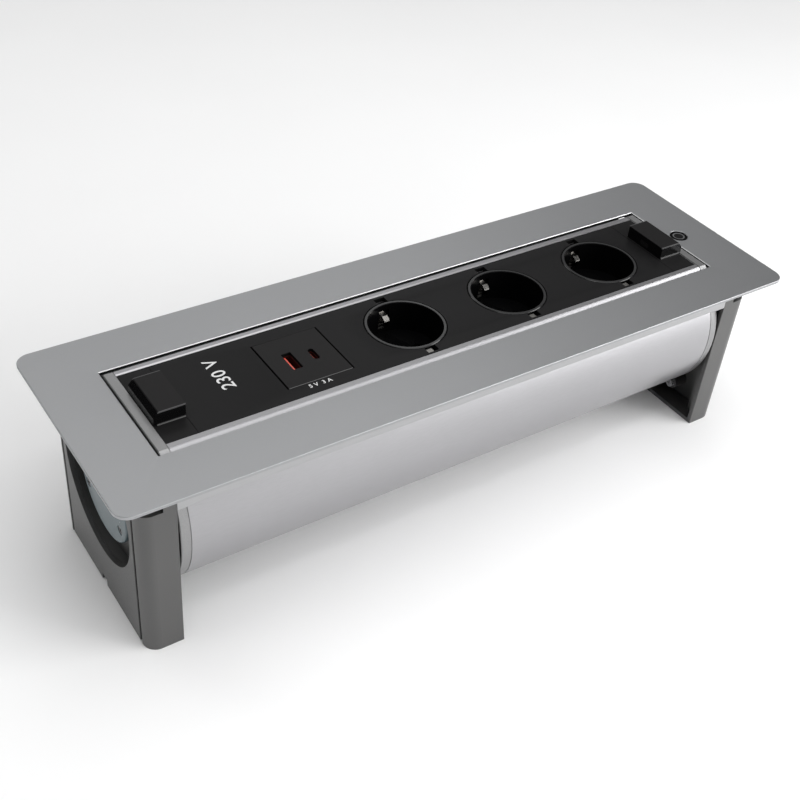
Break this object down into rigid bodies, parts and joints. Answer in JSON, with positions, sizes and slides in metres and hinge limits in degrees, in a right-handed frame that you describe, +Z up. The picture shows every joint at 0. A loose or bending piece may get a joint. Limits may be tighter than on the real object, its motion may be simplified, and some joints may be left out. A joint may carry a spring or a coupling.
{
  "type": "rotating socket block",
  "caption": "Desk-mounted power block: a plate with a motor-turned rotor that carries earthed sockets and a USB charger, and turns over to hide them.",
  "frame": {"origin": "centre of the footprint, at the level of the brackets' feet", "axes": "+X along the rotor axis towards the push button, +Y towards the rear edge of the desk plate, +Z up out of the desk"},
  "size_m": [0.4, 0.1244, 0.1108],
  "materials": {
    "board_green": "solder mask",
    "bracket_plastic": "fine moulded texture",
    "brass": "plain brass",
    "bush_acetal": "natural acetal",
    "cap_silver": "satin silver lacquer",
    "copper": "plain copper strip",
    "gear_acetal": "natural acetal",
    "hub_translucent": "translucent, pale blue",
    "inlet_black": "moulded black",
    "lens_black": "infra-red filter",
    "motor_zinc": "zinc plated can",
    "nickel": "nickel plated",
    "panel_black": "satin black",
    "plate_aluminium": "fine blasted, clear anodised",
    "rail_aluminium": "satin anodised",
    "ring_grey": "translucent grey",
    "rotor_aluminium": "satin anodised",
    "shell_dark": "blackened plated sheet",
    "shutter_grey": "moulded dark grey",
    "socket_black": "semi-gloss black",
    "steel": "bright zinc",
    "usb_black": "satin black",
    "usb_orange": "moulded orange"
  },
  "bodies": {
    "frame": {"top_plate": "plate_aluminium", "plate_studs": "steel", "plate_nuts": "steel", "front_rail": "rail_aluminium", "rear_rail": "rail_aluminium", "left_bracket": "bracket_plastic", "right_bracket": "bracket_plastic", "left_end_cover": "bracket_plastic", "right_end_cover": "bracket_plastic", "end_cover_screws": "steel", "right_bush": "bush_acetal", "left_bush": "bush_acetal", "right_hub_cover": "hub_translucent", "left_hub_cover": "hub_translucent", "hub_screws": "steel", "fixed_gear": "gear_acetal", "position_sensors": "board_green", "button_bezel": "panel_black", "button_nut": "nickel", "button_light_ring": "ring_grey", "button_spring": "steel", "button_switch": "inlet_black", "power_inlet": "inlet_black", "inlet_pins": "nickel", "control_board": "board_green"},
    "rotor": {"rotor_shell": "rotor_aluminium", "right_end_cap": "cap_silver", "left_end_cap": "cap_silver", "rotor_screws": "steel", "right_trunnion": "steel", "left_trunnion": "steel", "stop_pin": "steel", "position_magnet": "nickel", "socket_panel": "panel_black", "left_end_module": "panel_black", "right_end_module": "panel_black", "left_sensor_block": "panel_black", "right_sensor_block": "panel_black", "light_sensors": "lens_black", "left_socket": "socket_black", "middle_socket": "socket_black", "right_socket": "socket_black", "earth_clips": "nickel", "live_busbar": "brass", "neutral_busbar": "brass", "earth_busbar": "copper", "usb_faceplate": "usb_black", "usb_a_shell": "shell_dark", "usb_a_tongue": "usb_orange", "usb_c_shell": "shell_dark", "usb_c_tongue": "usb_orange", "usb_board": "board_green", "drive_motor": "motor_zinc", "motor_gearbox": "motor_zinc"},
    "drive_pinion": {"drive_pinion": "gear_acetal", "motor_shaft": "steel"},
    "button": {"button_cap": "panel_black"},
    "left_shutter": {"left_shutter": "shutter_grey"},
    "middle_shutter": {"middle_shutter": "shutter_grey"},
    "right_shutter": {"right_shutter": "shutter_grey"}
  },
  "joints": [
    {"name": "rotor_turn", "type": "hinge", "parent": "frame", "child": "rotor", "pos_m": [0, 0, 0.0637], "axis": [1, 0, 0], "range_deg": [0, 180]},
    {"name": "pinion_spin", "type": "hinge", "parent": "rotor", "child": "drive_pinion", "pos_m": [0.1719, 0, 0.0457], "axis": [1, 0, 0], "range_deg": [0, 468]},
    {"name": "button_press", "type": "slide", "parent": "frame", "child": "button", "axis": [0, 0, -1], "range_m": [0, 0.0008], "stiffness_N_per_m": 1200, "springref_m": -0.0004, "deforming": ["button_spring"]},
    {"name": "left_shutter_turn", "type": "hinge", "parent": "rotor", "child": "left_shutter", "pos_m": [-0.0175, 0, 0.0824], "axis": [0, 0, 1], "range_deg": [0, 38], "stiffness_Nm_per_rad": 0.004},
    {"name": "middle_shutter_turn", "type": "hinge", "parent": "rotor", "child": "middle_shutter", "pos_m": [0.0483, 0, 0.0824], "axis": [0, 0, 1], "range_deg": [0, 38], "stiffness_Nm_per_rad": 0.004},
    {"name": "right_shutter_turn", "type": "hinge", "parent": "rotor", "child": "right_shutter", "pos_m": [0.1141, 0, 0.0824], "axis": [0, 0, 1], "range_deg": [0, 38], "stiffness_Nm_per_rad": 0.004}
  ],
  "couplings": [
    {"joint": "pinion_spin", "follows": "rotor_turn", "ratio": 2.6}
  ]
}
